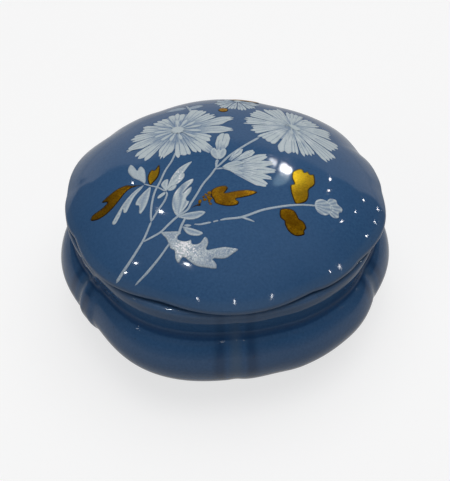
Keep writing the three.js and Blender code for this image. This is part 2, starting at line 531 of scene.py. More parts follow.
def distance_to_outline(places, outline):
    nearest = np.full(len(places), 1e9)
    for a, b in zip(outline, np.roll(outline, -1, axis=0)):
        way = b - a
        t = np.clip(((places - a) @ way) / max(way @ way, 1e-12), 0, 1)
        nearest = np.minimum(nearest, np.linalg.norm(places - (a + t[:, None] * way), axis=1))
    return nearest


def patch(sheet, outline, height=0.14, cover=0.82, lift=0.0, spacing=0.42, vein=None, steps=4, ridge=None,
          rays=None):
    """A raised patch inside a closed outline. vein is a route along which a fine line is scratched. With
    ridge, the patch is thinner inside a raised bright outline. rays is (x, y, turns): lines fan out there."""
    edge = smooth(outline, steps, closed=True)
    low = edge.min(axis=0)
    high = edge.max(axis=0)
    xs = np.arange(low[0], high[0], spacing)
    ys = np.arange(low[1], high[1], spacing * 0.87)
    gx, gy = np.meshgrid(xs, ys)
    gx = gx + (np.arange(len(ys)) % 2)[:, None] * spacing / 2
    fill = np.stack([gx.ravel(), gy.ravel()], axis=1)
    fill = fill[inside_outline(fill, edge)]
    fill = fill[distance_to_outline(fill, edge) > spacing * 0.35]
    places = [Vector(p) for p in np.vstack([edge, fill]).tolist()]
    border = [(i, (i + 1) % len(edge)) for i in range(len(edge))]
    made = delaunay_2d_cdt(places, border, [], 1, 1e-6)
    places = np.array([tuple(p) for p in made[0]])
    depth = distance_to_outline(places, edge)
    dome = 1 - np.exp(-depth / 0.45)
    tone = np.full(len(places), cover) * (0.6 + 0.4 * ease(depth, 0.0, 0.3))
    if ridge is not None:
        tone = tone * (ridge + (1.35 - ridge) * np.exp(-((depth - 0.35) / 0.28) ** 2))
    if rays is not None:
        turned = np.arctan2(places[:, 1] - rays[1], places[:, 0] - rays[0])
        tone = tone * (1 + 0.5 * np.sin(turned * rays[2] + 0.5 * depth))
    if vein is not None:
        line = smooth(vein, 6)
        gap = np.min(np.linalg.norm(places[:, None, :] - line[None, :, :], axis=2), axis=1)
        scratch = np.exp(-(gap / 0.35) ** 2)
        tone = tone * (1 - 0.5 * scratch)
        dome = dome * (1 - 0.5 * scratch)
    faces = [tuple(face) for face in made[2]]
    sheet.add(places, lift + LEAST_LIFT + height * dome, tone, np.exp(-depth / 0.28), faces)


def circle(centre, radius, step=40):
    """A round outline with a point every step degrees."""
    return [np.array(centre) + unit(turn) * radius for turn in range(0, 360, step)]


def painted_glints(sheet, index, centre, reach, random, strength, painted_brightness=-0.04):
    """Painted glints: raises coarse specks in one patch of the sheet, most at the centre, and paints them
    bright as glints of light. The last value paints the middle of the patch brighter as a painted highlight,
    or slightly darker when it is below 0.
    """
    places = sheet.places[index]
    near = np.exp(-np.sum(((places - centre) / reach) ** 2, axis=1))
    glinting_specks = random.random(len(places)) ** 5 * near * (1 - sheet.rim[index])
    # painted glints on the specks, and a painted highlight or slight darkening over the middle of the patch
    sheet.cover[index] = sheet.cover[index] + strength * glinting_specks + painted_brightness * near
    sheet.lifts[index] = sheet.lifts[index] + 0.10 * glinting_specks


# ---- the flower spray ----
LEFT_FLOWER = np.array([-16.5, 18.5])
RIGHT_FLOWER = np.array([24.6, 21.0])
BACK_FLOWER = np.array([5.5, 42.6])
BUD = np.array([-2.0, 0.6])
FAN = np.array([-0.6, -4.3])


def left_flower(material):
    random = np.random.default_rng(11)
    sheet = Sheet()
    around = [
        LEFT_FLOWER + unit(turn) * 11.5 * (1 + 0.10 * math.sin(math.radians(turn * 2)))
        for turn in range(0, 360, 20)
    ]
    patch(sheet, around, height=0.03, cover=0.22, spacing=0.9)
    petals = [
        (20, 22.0, 2.8), (-1.5, 20.6, 2.5), (-31, 14.5), (-58, 16.5), (-79, 17.0), (-108, 18.0, 2.9),
        (-129, 20.6), (-152, 20.8, 2.9), (-170, 17.2), (167, 14.5), (133, 12.0), (92, 13.3), (58, 17.6),
        (38, 16.8),
    ]
    ring_of_petals(sheet, LEFT_FLOWER, petals, random, widest=4.3, lift=0.02, cover=(0.20, 1.12), tooth=1.9,
                   teeth=3, thickens=(0.32, 0.66))
    stamens(sheet, LEFT_FLOWER, [
        (-38, 8.2), (-76, 6.4), (-110, 7.2), (-132, 8.3), (-156, 8.8), (-176, 8.6), (163, 7.6), (133, 6.6),
        (93, 6.8), (65, 7.6), (40, 8.2), (17, 8.8), (-7, 8.6),
    ])
    patch(sheet, circle(LEFT_FLOWER, 2.3), height=0.2, cover=1.0, lift=0.16)
    sheet.build("left_flower", material)


def right_flower(material):
    random = np.random.default_rng(23)
    sheet = Sheet()
    patch(sheet, circle(RIGHT_FLOWER, 9.5, 20), height=0.03, cover=0.35, spacing=0.9)
    petals = [
        (148, 18.0), (169, 17.8), (190, 15.8), (222, 15.3), (266, 18.0), (287, 19.0), (305, 23.0),
        (325, 19.5), (-3, 15.2), (39, 12.2), (82, 13.5), (116, 16.4),
    ]
    ring_of_petals(sheet, RIGHT_FLOWER, petals, random, widest=5.0, lift=0.02, cover=(0.40, 1.12), tooth=2.0,
                   lines=1)
    stamens(sheet, RIGHT_FLOWER, [
        (136, 7.5), (112, 8.6), (86, 6.2), (40, 5.5), (160, 6.0), (-28, 7.6), (-60, 6.0), (-93, 5.3),
    ], cover=0.9)
    centre = [(24.0, 22.3), (25.4, 20.9), (27.5, 19.0)]
    ribbon(sheet, centre, [1.6, 2.6, 1.6], height=0.2, cover=1.0, lift=0.16)
    sheet.build("right_flower", material)


def back_flower(material):
    random = np.random.default_rng(5)
    sheet = Sheet()
    petals = [
        (-172, 8.5), (-150, 10.0), (-127, 11.0), (-104, 10.5), (-81, 11.3), (-58, 10.8), (-35, 9.0),
        (-8, 7.5), (24, 5.0), (58, 4.2), (94, 4.0), (128, 4.2), (160, 6.0),
    ]
    ring_of_petals(sheet, BACK_FLOWER, petals, random, widest=2.9, start=1.4, lift=0.02, teeth=3)
    patch(sheet, circle(BACK_FLOWER, 1.6), height=0.2, cover=1.0, lift=0.12)
    ribbon(sheet, [(5.2, 46), (6.8, 49.5), (9.6, 53.2)], [0.7, 0.8, 0.9], cover=0.5)
    ribbon(sheet, [(-12, 32), (-12.8, 35.5), (-14, 39)], [0.9, 1.1, 0.3], cover=0.6)
    patch(sheet, [(-12.6, 34.5), (-9.5, 35.2), (-7.4, 37.2), (-9.2, 38.3), (-12.2, 37.2)], cover=0.5)
    patch(sheet, [(-14, 35.6), (-17.8, 34.6), (-21.5, 35.2), (-19, 37.4), (-15.3, 37.6)], cover=0.5)
    sheet.build("back_flower", material)


def small_flowers(material):
    """The bud and the fan-shaped flower on the middle stem, and the round bud at the right."""
    random = np.random.default_rng(7)
    sheet = Sheet()
    bud_mouth = BUD + np.array([0.0, 1.0])
    for direction, length, widest in [(126, 12.8, 2.1), (80, 14.6, 2.5)]:
        petal(sheet, bud_mouth, direction, length, (widest, 0.34, 0.34), random, teeth=2, start=3.8,
              tooth=0.7, cover=(0.28, 1.05), tip=0.25)
    cups = [
        [(-1.9, 0.4), (-3.6, 1.6), (-4.6, 3.8), (-4.4, 6.0), (-3.4, 7.0), (-2.5, 5.8), (-1.9, 3.6)],
        [(-1.7, 0.4), (-0.2, 1.4), (0.8, 3.6), (0.8, 5.8), (-0.1, 6.7), (-1.1, 5.6), (-1.7, 3.6)],
        [(-1.8, 0.8), (-2.5, 3.4), (-2.6, 5.4), (-1.7, 6.2), (-1.0, 5.2), (-1.2, 3.2)],
    ]
    for outline in cups:
        patch(sheet, outline, cover=0.85, lift=0.08, spacing=0.36, ridge=0.7)
    fan = [
        (57, 13.2, 1.5), (40, 15.2, 1.9), (23, 17.4, 2.2), (8, 18.2, 1.9), (-6, 18.8, 1.9), (-19, 18.2, 1.6),
        (-32, 18.2, 2.2),
    ]
    for direction, length, widest in fan:
        petal(sheet, FAN, direction, length, (widest, 0.15, 0.15), random, teeth=2, start=4.8, tooth=1.1,
              cover=(0.22, 1.12), tip=0.3, lines=3)
    calyx = [
        [(-0.6, -4.0), (1.2, -1.8), (4.2, -0.6), (7.2, -1.6), (5.4, -2.8), (2.4, -3.8)],
        [(-0.4, -4.3), (2.8, -3.6), (5.6, -3.8), (7.0, -4.6), (5.2, -5.6), (2.4, -5.2)],
        [(-0.6, -4.6), (1.6, -5.8), (4.0, -7.6), (6.4, -7.8), (5.8, -6.4), (3.4, -5.2)],
    ]
    for outline in calyx:
        patch(sheet, outline, cover=0.8, lift=0.08, spacing=0.36, ridge=0.8)
    round_bud = [
        [(29.6, -21.3), (30.4, -18.9), (32.4, -18.0), (34.6, -18.8), (35.4, -21.2), (34.4, -23.6),
         (32.4, -24.6), (30.4, -23.6)],
        [(34.0, -18.6), (35.4, -16.9), (37.2, -17.1), (37.6, -18.7), (39.0, -19.8), (38.8, -21.4),
         (37.7, -22.2), (37.6, -23.8), (35.9, -24.6), (34.3, -23.4), (35.4, -21.2)],
    ]
    for outline, rays in zip(round_bud, [(28.0, -21.3, 22), (32.5, -21.0, 20)]):
        patch(sheet, outline, cover=0.66, lift=0.02, spacing=0.24, ridge=0.8, rays=rays)
    sheet.build("small_flowers", material)


def stems(material):
    sheet = Sheet()
    main = [(-35, -44.3), (-30.5, -40), (-28, -37), (-26, -34), (-23.7, -28)]
    ribbon(sheet, main, [1.2, 0.95, 0.8, 0.75])
    ribbon(sheet, [
        (-23.8, -28.2), (-24, -25), (-23.8, -20), (-23, -15), (-21.5, -10.5), (-20, -5), (-18, 0),
        (-16.6, 5.4),
    ], [0.7, 0.75, 0.75, 0.7, 0.75])
    ribbon(sheet, [
        (-23.7, -28), (-21.5, -23.5), (-19.7, -20), (-19, -17), (-19.3, -15.6),
    ], [0.7, 0.8, 0.7, 0.6])
    ribbon(sheet, [(-27, -11), (-24.5, -12.3), (-22, -13.5), (-19.6, -15.6)], [0.5, 0.65, 0.6], lift=0.05)
    ribbon(sheet, [
        (-26.3, -34.9), (-23, -33.7), (-20.5, -32.5), (-18, -30), (-15.3, -27.3), (-12, -24.5), (-11, -22),
        (-9, -17.5), (-7, -12.5), (-4.5, -8), (-2.5, -3.6),
    ], [0.7, 0.85, 0.8, 0.75, 0.8])
    ribbon(sheet, [(-2.6, -4.2), (-2.6, -2), (-2.2, 0.4)], [0.7, 0.9, 1.1])
    ribbon(sheet, [
        (-2.8, -4.2), (-1.5, -2.5), (2, 2.5), (6, 6.8), (12.8, 13.2),
    ], [0.7, 0.9, 0.95, 0.95, 1.0])
    ribbon(sheet, [(-2.9, -4.8), (-1.8, -4.6), (-0.4, -4.4)], [0.6, 0.8, 0.8])
    ribbon(sheet, [(-28.7, -46.5), (-24.5, -44), (-20.5, -40.5), (-17.4, -36.6)], [0.5, 0.9, 0.75, 0.7])
    ribbon(sheet, [(-14.9, -34.4), (-13.7, -30.5), (-12.7, -28.2)], [0.9, 0.9, 0.7])
    ribbon(sheet, [(-9.8, -30.8), (-8, -31), (-4.3, -30.3)], [0.4, 0.8, 0.75])
    ribbon(sheet, [(-3.8, -30.2), (-2.0, -29.7)], [0.6, 0.6], steps=6)
    ribbon(sheet, [
        (-1.5, -29.6), (0, -29.2), (5, -28.5), (8, -27.3), (12, -25.3), (18, -23.4), (24, -22),
        (30.6, -21.2),
    ], [0.85, 0.95, 0.95, 0.85, 0.7])
    ribbon(sheet, [(5.2, -28.4), (7.2, -29.1), (9.6, -30.2)], [0.6, 0.9, 0.3])
    sheet.build("stems", material)


def white_leaves(material):
    sheet = Sheet()
    patch(sheet, [
        (-26.7, -10.8), (-28.6, -8.9), (-31, -7), (-33, -2.9), (-32.2, 0.2), (-30.8, -1.5), (-29.7, -3.6),
        (-29.3, -2.6), (-28.6, -1.5), (-27.3, -3.2), (-26.7, -6),
    ])
    patch(sheet, [
        (-27, -11.5), (-29.7, -13.4), (-33, -17.5), (-35.5, -22), (-37, -25.3), (-36, -25.9),
        (-34.4, -23.4), (-33.6, -20.7), (-33.3, -22.2), (-32.4, -22.5), (-31.5, -20.5), (-30, -16.6),
        (-27.6, -13),
    ], vein=[(-27.6, -12.2), (-31, -16.2), (-35.7, -24.6)], ridge=0.8)
    patch(sheet, [
        (-24.7, -12.7), (-26.6, -14.6), (-29, -18.2), (-29.3, -20.2), (-28.2, -20.7), (-28, -23.6),
        (-27.5, -24.3), (-26.3, -22.6), (-25.3, -19.8), (-24.7, -16),
    ], vein=[(-25.1, -14), (-26.8, -18), (-27.6, -22.6)], ridge=0.75)
    leaflets = [
        [(-19.3, -15.5), (-20.6, -13.6), (-21.2, -12.1), (-19.9, -9.8), (-18.9, -9.6), (-18.8, -12)],
        [(-19.2, -15.2), (-18.5, -11.2), (-17.5, -8), (-15.2, -3.7), (-12.6, -1.3), (-11, -0.4),
         (-12.6, -4), (-14.2, -7.5), (-16.6, -11.6)],
        [(-17.8, -13.2), (-16.4, -10.4), (-13.6, -6.7), (-13.4, -8.6), (-15.4, -12)],
        [(-18.8, -15.1), (-17.4, -13.2), (-16, -12.6), (-16.2, -14.2), (-17.6, -15.4)],
        [(-19.7, -15.8), (-20.8, -16.3), (-22.2, -18.1), (-21.9, -18.7), (-20.6, -18), (-19.5, -16.6)],
    ]
    for outline in leaflets:
        patch(sheet, outline, spacing=0.30, ridge=0.75)
    random = np.random.default_rng(29)
    # painted glints: bright specks painted on three leaflets where the lamps sparkle on the enamel
    painted_glints(sheet, -4, (-16.0, -7.6), (2.6, 3.4), random, 2.4)
    painted_glints(sheet, -3, (-15.4, -9.6), (2.2, 2.8), random, 2.0)
    painted_glints(sheet, -5, (-19.6, -12.6), (1.6, 2.0), random, 1.2)
    patch(sheet, [
        (-15.2, -27.2), (-16.6, -24.8), (-17.2, -21.5), (-16.8, -17.6), (-15, -13.8), (-12.5, -10.9),
        (-10.4, -9.8), (-10.6, -11.6), (-12.3, -14.3), (-13.7, -17), (-12.4, -15.2), (-10.9, -13.8),
        (-11.1, -16.4), (-12.6, -19.4), (-12.2, -20.6), (-11.6, -20.8), (-12.2, -22.8), (-13.7, -25.4),
    ], vein=[(-14.9, -26), (-15.5, -21.5), (-14.4, -16.5), (-11.8, -11.8)], ridge=0.86, rays=(-15.2, -28.5,
        24))
    patch(sheet, [
        (-15, -27.5), (-13.2, -26.3), (-10, -25.6), (-7.2, -25.4), (-6.2, -26), (-7, -27.2), (-9, -28.6),
        (-11.4, -28.9), (-13.4, -28.3),
    ], vein=[(-14, -27.5), (-10.5, -27.2), (-7.4, -26.6)], ridge=0.6)
    patch(sheet, [
        (-13.6, -31.4), (-11.6, -31.9), (-9.2, -32.9), (-7, -34.3), (-7.6, -35.1), (-10.2, -35.1),
        (-12.3, -33.9),
    ], vein=[(-13, -32), (-10.6, -33.4), (-8, -34.5)], ridge=0.7)
    patch(sheet, [(-13.1, -30.9), (-12, -30.6), (-10.7, -31.2), (-12, -31.7)], spacing=0.36)
    sheet.build("white_leaves", material)


def frosted_leaf(material):
    """The lobed leaf at the foot of the spray, in thick enamel with a rough face, with painted glints over it
    and a painted highlight where it mirrors the bulb.
    """
    random = np.random.default_rng(3)
    sheet = Sheet()
    outline = [
        (-20.5, -32.7), (-17, -32.8), (-14.7, -33.1), (-14, -33.8), (-15, -34.8), (-14.9, -36),
        (-12, -36.8), (-10.9, -36.4), (-10.3, -38), (-8, -37.8), (-6.4, -35.8), (-5.5, -36.5),
        (-5.3, -38.2), (-5.9, -40.1), (-3, -39.9), (0, -39.5), (2.5, -39.9), (4.1, -40.3), (2.5, -41.7),
        (0, -43.2), (-4, -43.2), (-2.9, -44.6), (-2.8, -46), (-5.8, -45.7), (-9, -44.9), (-11.5, -43.1),
        (-13.3, -41.8), (-14.7, -43.4), (-15.8, -41.7), (-16, -39.5), (-17.3, -38.6), (-17.9, -37),
        (-19, -34.8),
    ]
    patch(sheet, outline, height=0.22, spacing=0.3, cover=0.56, ridge=0.80,
          vein=[(-17.5, -34), (-14.4, -37.5), (-14.8, -41), (-13, -38.8), (-9.5, -40.2), (-7.6, -38.6),
                (-8, -41.2), (-4.5, -42.2), (-5, -44.2), (-3.5, -41.8), (2, -40.6)])
    bare = sheet.places[0]
    sheet.lifts[0] = sheet.lifts[0] + 0.06 * random.random(len(bare)) * (1 - sheet.rim[0])
    # painted glints across the leaf, and a painted highlight patch round the mirrored bulb
    painted_glints(sheet, 0, (-12.2, -38.8), (3.4, 4.6), random, 5.0)
    painted_glints(sheet, 0, (-13.2, -38.4), (1.4, 2.8), random, 2.0, painted_brightness=0.45)
    painted_glints(sheet, 0, (-6.5, -42.0), (5.0, 2.2), random, 1.3)
    painted_glints(sheet, 0, (1.5, -40.6), (2.6, 1.4), random, 1.6)
    sheet.build("frosted_leaf", material)


def gold_leaves(material):
    sheet = Sheet()
    outlines = [
        [(-27.5, -11.3), (-30.5, -11), (-33, -10.2), (-36, -11), (-39.5, -13.3), (-41.3, -14.9),
         (-39.3, -15.8), (-41, -17.4), (-44.6, -18.6), (-44.8, -20.1), (-43, -21.1), (-40.5, -21.2),
         (-37.5, -19.5), (-35, -16.5), (-33, -13.5), (-31, -12)],
        [(-24.8, -12), (-25.9, -8.5), (-25.5, -5.5), (-24.4, -3.9), (-23.8, -4.4), (-22.3, -1.5),
         (-21.8, -5), (-22.5, -8.5), (-24, -11)],
        [(-4.4, -18.6), (-4.3, -15.9), (-2, -14), (0.5, -13.7), (1.2, -14.7), (0.7, -16.3), (0.2, -17.2),
         (3, -16.5), (6, -15.9), (9, -16), (10.9, -17), (9, -18.5), (6, -19.6), (3.8, -20.3), (4.7, -21.5),
         (4.3, -22.9), (2, -23.6), (-0.5, -23.3), (-3, -22), (-3.7, -20)],
        [(23.5, -21.8), (22.3, -18), (22, -14), (22.3, -12.8), (23.3, -12.3), (22.8, -9.5), (23.2, -6.5),
         (24.3, -5.2), (26, -4.4), (27, -5), (27.3, -6.1), (28.4, -5.4), (29.2, -6.9), (30.3, -6.6),
         (30.7, -9), (30.3, -12), (28.2, -14.6), (28, -17), (27, -20), (25, -21.3)],
        [(18.2, -24.5), (20, -23.9), (22.5, -24.4), (23.7, -26.5), (24, -27.5), (25.5, -28.5),
         (26.3, -30.8), (25.6, -31.9), (25.5, -33.2), (22.7, -34.2), (20.5, -33), (19.3, -30.5),
         (19.2, -29.2), (18, -28), (17.8, -26)],
        [(2.5, 44.6), (5.5, 43.6), (9.0, 43.0), (12.2, 42.2), (13.8, 43.0), (12.6, 45.4), (9.4, 47.0),
         (5.0, 47.2)],
        [(-10.9, -24), (-9, -23.1), (-7.9, -23.2), (-7.9, -22), (-9.6, -22.9)],
    ]
    random = np.random.default_rng(17)
    flakes = [
        (-6.0, -18.0), (-5.5, -19.4), (-5.0, -21.0), (-4.4, -22.2), (-5.2, -17.1), (-8.1, -21.2),
        (-6.4, -20.2), (-4.9, -18.6), (-4.7, -19.9), (-7.0, -19.0),
    ]
    paler, near_lamp, over_flower = 1, 3, 5
    for i, outline in enumerate(outlines):
        patch(sheet, outline, height=0.07, cover=1.0, lift=0.16 if i == over_flower else 0.0)
        if i == paler:
            sheet.cover[-1] = sheet.cover[-1] + 0.17
        # painted highlight: the leaf near the main lamp's reflection is painted brighter, most round the lamp
        if i == near_lamp:
            from_lamp = np.linalg.norm(sheet.places[-1] - (22.0, -5.5), axis=1)
            sheet.cover[-1] = sheet.cover[-1] + 0.80 * np.exp(-(from_lamp / 6.5) ** 2) + 0.14
    for x, y in flakes:
        middle = np.array([x, y])
        around = [middle + unit(turn) * random.uniform(0.3, 1.15) for turn in range(0, 360, 60)]
        patch(sheet, around, height=0.05, spacing=0.3, cover=1.0, steps=2)
        sheet.rim[-1] = sheet.rim[-1] * 0.35
    patch(sheet, circle((0, 32.3), 1.9), height=0.12, cover=1.0)
    sheet.build("gold_leaves", material)


# ---- materials ----
def new_node(tree, kind, **settings):
    made = tree.nodes.new("ShaderNode" + kind)
    for key, value in settings.items():
        setattr(made, key, value)
    return made


def feed(tree, socket, value):
    """Links another socket to this one, or sets its value."""
    if isinstance(value, bpy.types.NodeSocket):
        tree.links.new(value, socket)
    else:
        socket.default_value = value


class Nodes:
    """Short ways to write a material's node tree."""

    def __init__(self, name):
        self.material = bpy.data.materials.new(name)
        self.material.use_nodes = True
        self.tree = self.material.node_tree
        self.shader = self.tree.nodes["Principled BSDF"]
        self.place = self.add("TexCoord").outputs["Object"]

    def add(self, kind, inputs=(), **settings):
        made = new_node(self.tree, kind, **settings)
        for key, value in dict(inputs).items():
            feed(self.tree, made.inputs[key], value)
        return made

    def noise(self, size, detail, rough=0.5):
        """Noise with features of that size in millimetres."""
        inputs = {"Vector": self.place, "Scale": 1 / (size * MM), "Detail": detail, "Roughness": rough}
        return self.add("TexNoise", inputs).outputs["Fac"]

    def value(self, name):
        return self.add("Attribute", attribute_name=name).outputs["Fac"]

    def math(self, operation, a, b):
        return self.add("Math", {0: a, 1: b}, operation=operation).outputs[0]

    def span(self, value, low, high, to_low=0.0, to_high=1.0):
        """Maps low..high to to_low..to_high, held at the ends."""
        inputs = {"Value": value, "From Min": low, "From Max": high, "To Min": to_low, "To Max": to_high}
        return self.add("MapRange", inputs).outputs["Result"]

    def blend(self, share, a, b):
        return self.add("Mix", {0: share, 6: a, 7: b}, data_type="RGBA").outputs[2]

    def tint(self, body, shade, value, low, high, most=1.0):
        """Turns the body towards a shade, by at most that share, as the value goes from low to high."""
        share = self.span(value, low, high)
        if most < 1:
            share = self.math("MULTIPLY", share, most)
        return self.blend(share, body, shade)

    def bump(self, height, distance, strength, under=None):
        inputs = {"Height": height, "Distance": distance * MM, "Strength": strength}
        if under is not None:
            inputs["Normal"] = under
        return self.add("Bump", inputs).outputs["Normal"]

    def finish(self, **sockets):
        for key, value in sockets.items():
            feed(self.tree, self.shader.inputs[key.replace("_", " ")], value)
        return self.material


def colour(red, green, blue):
    return (red, green, blue, 1.0)


def blue_glaze():
    """Deep blue glaze: finely mottled, darker where it pools, greyer where it thins on an edge, with pale
    seams between dark flanks. It shines less in hollows and in the neck, which mirror one another."""
    n = Nodes("blue_glaze")
    hollow = n.value("hollow")
    seam = n.value("seam")
    body = n.tint(colour(0.024, 0.086, 0.210), colour(0.036, 0.113, 0.250), n.noise(0.8, 3), 0.3, 0.7)
    body = n.tint(body, colour(0.043, 0.108, 0.232), n.noise(22, 2), 0.3, 0.7, 0.35)
    body = n.tint(body, colour(0.007, 0.036, 0.115), hollow, 0.05, 0.9, 0.55)
    body = n.tint(body, colour(0.075, 0.125, 0.205), hollow, -0.25, -1.0, 0.40)
    body = n.tint(body, colour(0.072, 0.130, 0.215), seam, 0.1, 0.9, 0.55)
    body = n.tint(body, colour(0.007, 0.040, 0.115), seam, -0.1, -0.8, 0.62)
    body = n.tint(body, colour(0.012, 0.028, 0.06), n.noise(1.6, 1), 0.74, 0.80, 0.35)
    rough = n.span(n.noise(6, 3), 0.3, 0.7, 0.045, 0.085)
    wave = n.bump(n.noise(18, 0), 0.02, 0.3)
    peel = n.bump(n.noise(1.6, 0), 0.001, 0.3, under=wave)
    height = n.add("SeparateXYZ", {"Vector": n.place}).outputs["Z"]
    above_bulge = n.span(height, 0.0255, 0.0290)
    below_rim = n.span(height, 0.0425, 0.0415)
    neck = n.math("MULTIPLY", above_bulge, below_rim)
    shine = n.math("MULTIPLY", n.span(hollow, 0.05, 0.6, 0.5, 0.22), n.span(neck, 0, 1, 1.0, 0.5))
    return n.finish(Base_Color=body, Roughness=rough, Normal=peel, IOR=1.5, Specular_IOR_Level=shine)


def bare_clay():
    """Bare fired clay of the foot and seat: off-white, faintly stained, with a fine grain."""
    n = Nodes("bisque")
    grain = n.noise(0.35, 3, 0.7)
    body = n.tint(colour(0.62, 0.57, 0.49), colour(0.42, 0.36, 0.29), n.noise(5, 4, 0.6), 0.35, 0.7)
    body = n.tint(body, colour(0.25, 0.21, 0.17), grain, 0.60, 0.75)
    rough = n.span(grain, 0.3, 0.7, 0.65, 0.9)
    return n.finish(Base_Color=body, Roughness=rough, Normal=n.bump(grain, 0.06, 0.6))


def white_enamel(name, roughness, relief, index=1.5):
    """Fired enamel: blue-grey where the glaze shows through a thin coat, white where it is thick, and
    brighter still where the cover is highest: partly the thickest enamel, partly painted glints and painted
    highlights."""
    n = Nodes(name)
    streak = n.noise(0.55, 3, 0.65)
    cover = n.math("ADD", n.value("cover"), n.span(streak, 0.3, 0.7, -0.16, 0.16))
    thin = n.blend(n.noise(3, 2), colour(0.130, 0.220, 0.375), colour(0.160, 0.250, 0.390))
    thick = n.blend(n.noise(1.2, 3), colour(0.500, 0.585, 0.625), colour(0.590, 0.665, 0.690))
    body = n.tint(thin, thick, cover, 0.12, 0.95)
    # near white where cover is above 1.15: partly the thickest enamel, partly painted glints and painted
    # highlights
    body = n.tint(body, colour(0.97, 0.95, 1.0), cover, 1.15, 1.60)
    body = n.tint(body, colour(0.13, 0.18, 0.25), n.noise(0.8, 1), 0.72, 0.78, 0.5)
    rough = n.span(streak, 0.3, 0.7, roughness - 0.08, roughness + 0.08)
    return n.finish(Base_Color=body, Roughness=rough, Normal=n.bump(streak, 0.05 * relief, 0.6), IOR=index)


def worn_gold():
    """Fired gold: brown-amber with tarnish, specks and a dark outline, brighter where cover is above 1, which
    makes one leaf paler and paints the highlight round the main lamp.
    """
    n = Nodes("gold")
    mottle = n.noise(0.7, 4, 0.65)
    body = n.tint(colour(0.33, 0.138, 0.002), colour(0.66, 0.35, 0.008), mottle, 0.32, 0.68)
    body = n.tint(body, colour(0.20, 0.085, 0.002), n.noise(4.5, 4), 0.44, 0.62, 0.62)
    body = n.tint(body, colour(0.035, 0.016, 0.002), n.noise(0.5, 1), 0.66, 0.74, 0.75)
    # bright gold where cover is above 1: the painted highlight round the main lamp, and the paler leaf
    lit = n.math("MULTIPLY", n.span(n.value("cover"), 1.0, 1.5), n.span(mottle, 0.3, 0.7, 0.65, 1.0))
    body = n.blend(lit, body, colour(0.95, 0.62, 0.02))
    body = n.tint(body, colour(0.012, 0.010, 0.008), n.value("rim"), 0.16, 0.42, 0.92)
    rough = n.span(mottle, 0.3, 0.7, 0.42, 0.28)
    return n.finish(Base_Color=body, Roughness=rough, Metallic=1.0, Normal=n.bump(mottle, 0.03, 0.5))


# ---- the studio ----
FLOOR_HALF = 4.0  # metres
WORLD_SEEN = 0.965  # what the camera sees behind the floor
WORLD_DIM = 0.11
WORLD_OVERHEAD = 0.29
WORLD_WALL = 0.50
WORLD_FRONT = 0.28  # added low down towards the front
WALL_BLUR = 0.02


def by_ray(tree, seen, other, ray="Is Camera Ray"):
    """Mixes two shaders: the first for that kind of ray, the second for the rest."""
    path = new_node(tree, "LightPath")
    mix = new_node(tree, "MixShader")
    for socket, value in zip(mix.inputs, (path.outputs[ray], other, seen)):
        tree.links.new(value, socket)
    return mix.outputs[0]


def plain_shader(tree, kind, shade, strength=None):
    made = new_node(tree, kind)
    made.inputs["Color"].default_value = colour(shade, shade, shade)
    if strength is not None:
        made.inputs["Strength"].default_value = strength
    return made.outputs[0]


def glowing(tree, shade, strength):
    """A diffuse surface that also gives off light."""
    both = new_node(tree, "AddShader")
    tree.links.new(plain_shader(tree, "BsdfDiffuse", shade), both.inputs[0])
    tree.links.new(plain_shader(tree, "Emission", 1.0, strength), both.inputs[1])
    return both.outputs[0]


def make_floor():
    """A pale tabletop that glows, so that the camera sees it even. Reflections see it dimmer, and it returns
    little light to the bowl."""
    mesh = bpy.data.meshes.new("floor")
    corners = [(-1, -1, 0), (1, -1, 0), (1, 1, 0), (-1, 1, 0)]
    mesh.from_pydata([(x * FLOOR_HALF, y * FLOOR_HALF, z) for x, y, z in corners], [], [(0, 1, 2, 3)])
    material = bpy.data.materials.new("floor")
    material.use_nodes = True
    tree = material.node_tree
    unlit = plain_shader(tree, "BsdfDiffuse", 0.40)
    other = by_ray(tree, glowing(tree, 0.30, 0.30), unlit, ray="Is Glossy Ray")
    surface = by_ray(tree, glowing(tree, 0.33, 0.70), other)
    tree.links.new(surface, tree.nodes["Material Output"].inputs["Surface"])
    mesh.materials.append(material)
    floor = place_object("floor", mesh)


